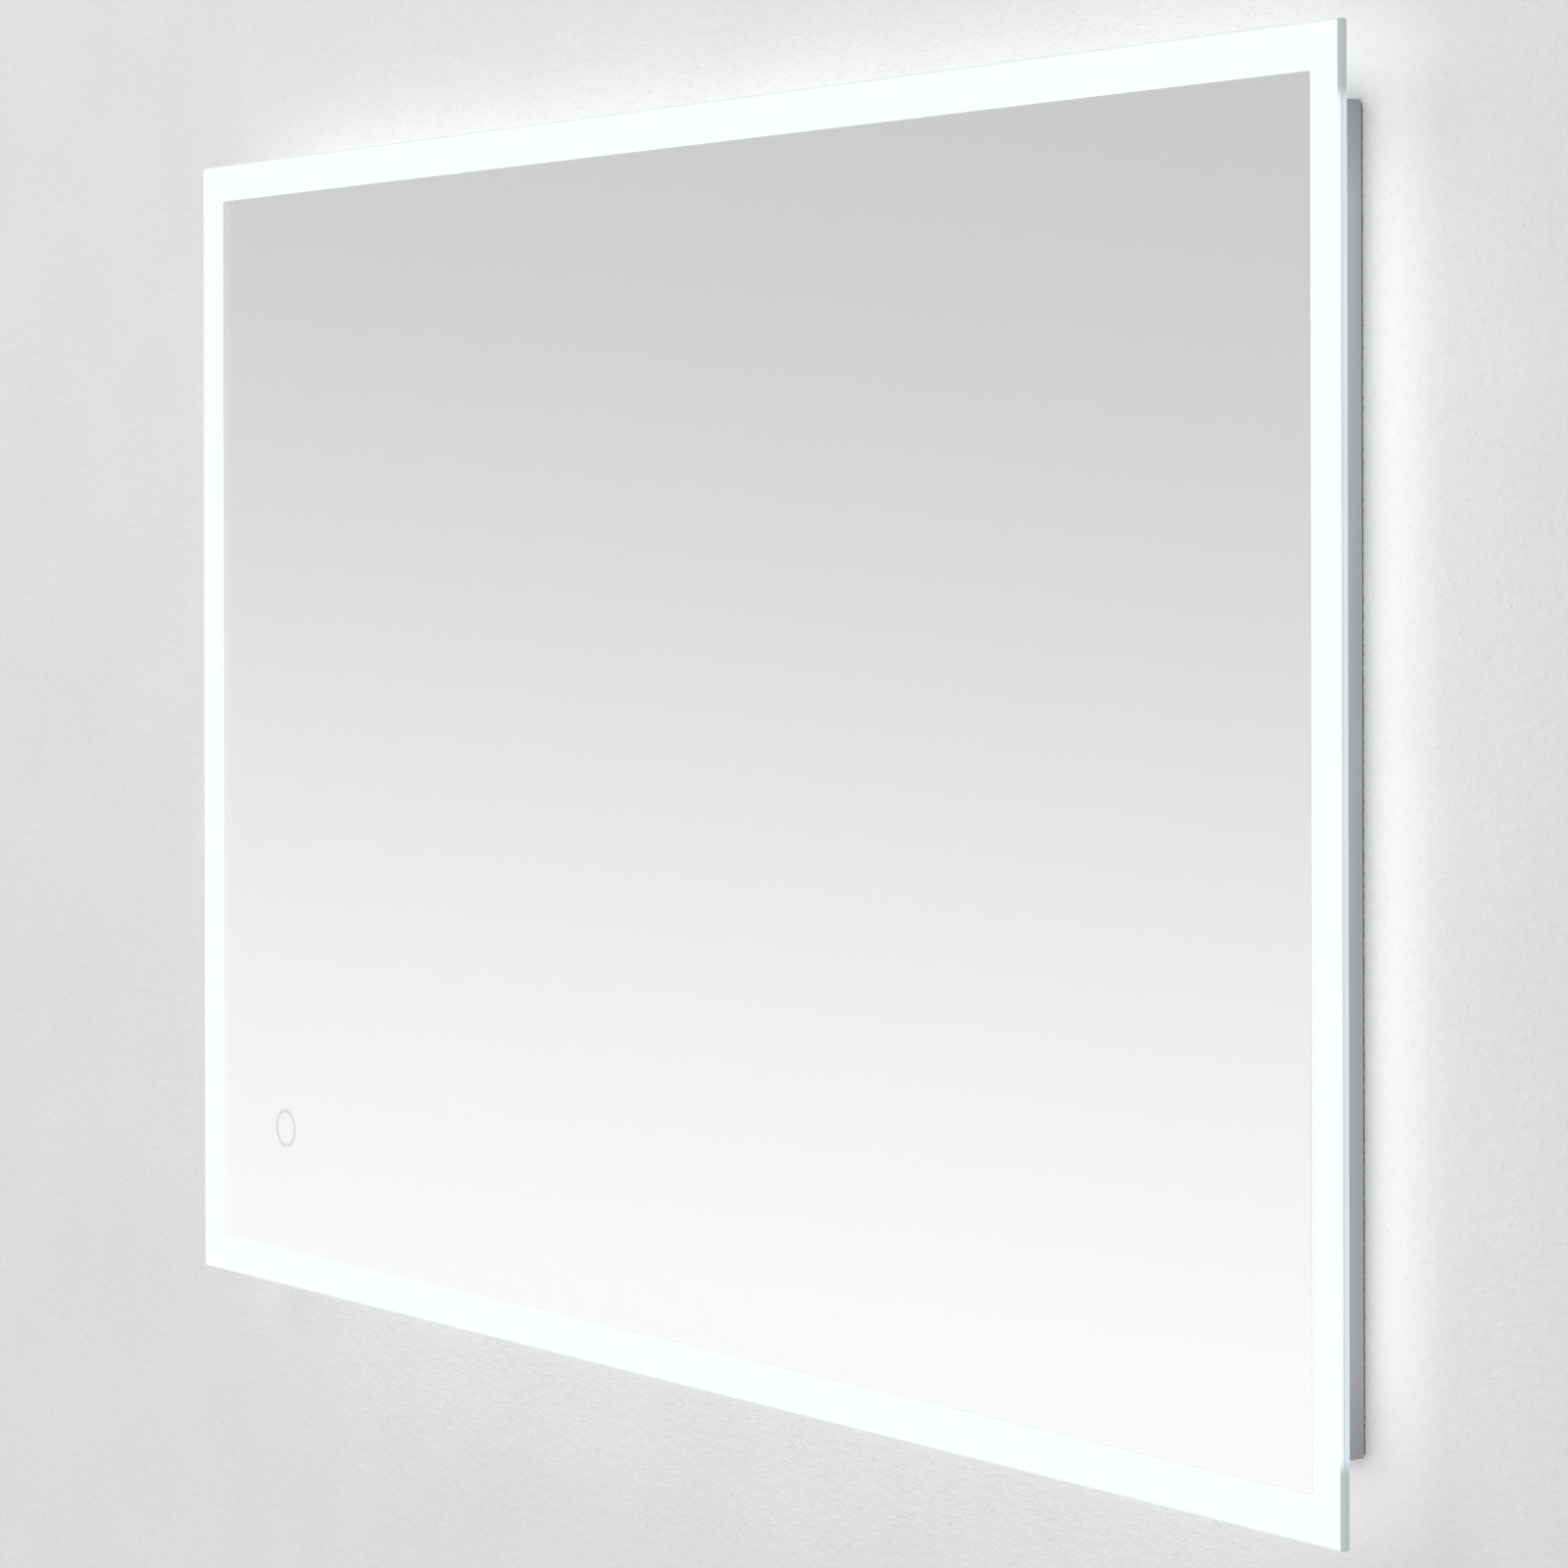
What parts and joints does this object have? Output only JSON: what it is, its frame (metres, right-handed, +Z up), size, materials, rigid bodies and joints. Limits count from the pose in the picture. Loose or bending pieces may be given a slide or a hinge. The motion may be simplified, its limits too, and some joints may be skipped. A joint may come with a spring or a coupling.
{
  "type": "lighted bathroom mirror",
  "caption": "Frameless rectangular wall mirror with a frosted lit border and touch mark, its light channel frame, driver and hanging rails behind the pane",
  "frame": {"origin": "on the wall plane, in the middle of the wall rail's line of screws", "axes": "+X to the right seen from in front of the mirror, +Y into the wall, +Z up"},
  "size_m": [0.9, 0.04, 0.6],
  "materials": {
    "clear_glass": "polished, ground edges, frosted border",
    "silver": "silvered, painted behind",
    "film": "smooth film",
    "bond_tape": "foam tape",
    "frame_metal": "satin anodised",
    "opal": "opal, satin",
    "tape_board": "white solder resist",
    "chip": "phosphor coated",
    "white_wire": "smooth sheath",
    "cast_metal": "as cast",
    "zinc_steel": "zinc plated",
    "rail_metal": "mill finish",
    "black_rubber": "matt",
    "case_plastic": "fine texture",
    "circuit_board": "solder resist",
    "ferrite": "fired, matt",
    "coil_wrap": "wound tape",
    "capacitor_sleeve": "shrunk sleeve",
    "terminal_plastic": "moulded",
    "foam": "closed cell foam",
    "gland_plastic": "moulded",
    "sensor_plastic": "moulded",
    "copper": "bright",
    "clip_plastic": "moulded"
  },
  "bodies": {
    "wall": {"wall_rail": "rail_metal"},
    "mirror": {"bonding_tape": "bond_tape", "channel_grommet": "black_rubber", "cord_gland": "gland_plastic", "corner_keys": "cast_metal", "diffuser_bottom": "opal", "diffuser_left": "opal", "diffuser_right": "opal", "diffuser_top": "opal", "driver_base": "case_plastic", "driver_board": "circuit_board", "driver_capacitors": "capacitor_sleeve", "driver_grommet": "black_rubber", "driver_lid": "case_plastic", "foam_pads": "foam", "frame_bottom": "frame_metal", "frame_left": "frame_metal", "frame_right": "frame_metal", "frame_top": "frame_metal", "gland_cap": "gland_plastic", "gland_nut": "gland_plastic", "gland_seal": "black_rubber", "hanging_rail": "rail_metal", "key_screws": "zinc_steel", "lead_clips": "clip_plastic", "lid_screws": "zinc_steel", "light_chips": "chip", "light_tape_bottom": "tape_board", "light_tape_left": "tape_board", "light_tape_right": "tape_board", "light_tape_top": "tape_board", "mirror_pane": "clear_glass", "rail_rivets": "rail_metal", "ring_guide": "opal", "ring_lights": "chip", "safety_film": "film", "sensor_board": "circuit_board", "sensor_case": "sensor_plastic", "sensor_pad": "foam", "silver_layer": "silver", "strip_lead": "white_wire", "supply_lead": "white_wire", "tape_links": "white_wire", "terminal_block": "terminal_plastic", "terminal_screws": "zinc_steel", "touch_electrode": "copper", "transformer_coil": "coil_wrap", "transformer_core": "ferrite", "wall_bumpers": "black_rubber"}
  },
  "joints": [
    {"name": "mirror_lift", "type": "slide", "parent": "wall", "child": "mirror", "axis": [0, 0, 1], "range_m": [0, 0.015]}
  ]
}
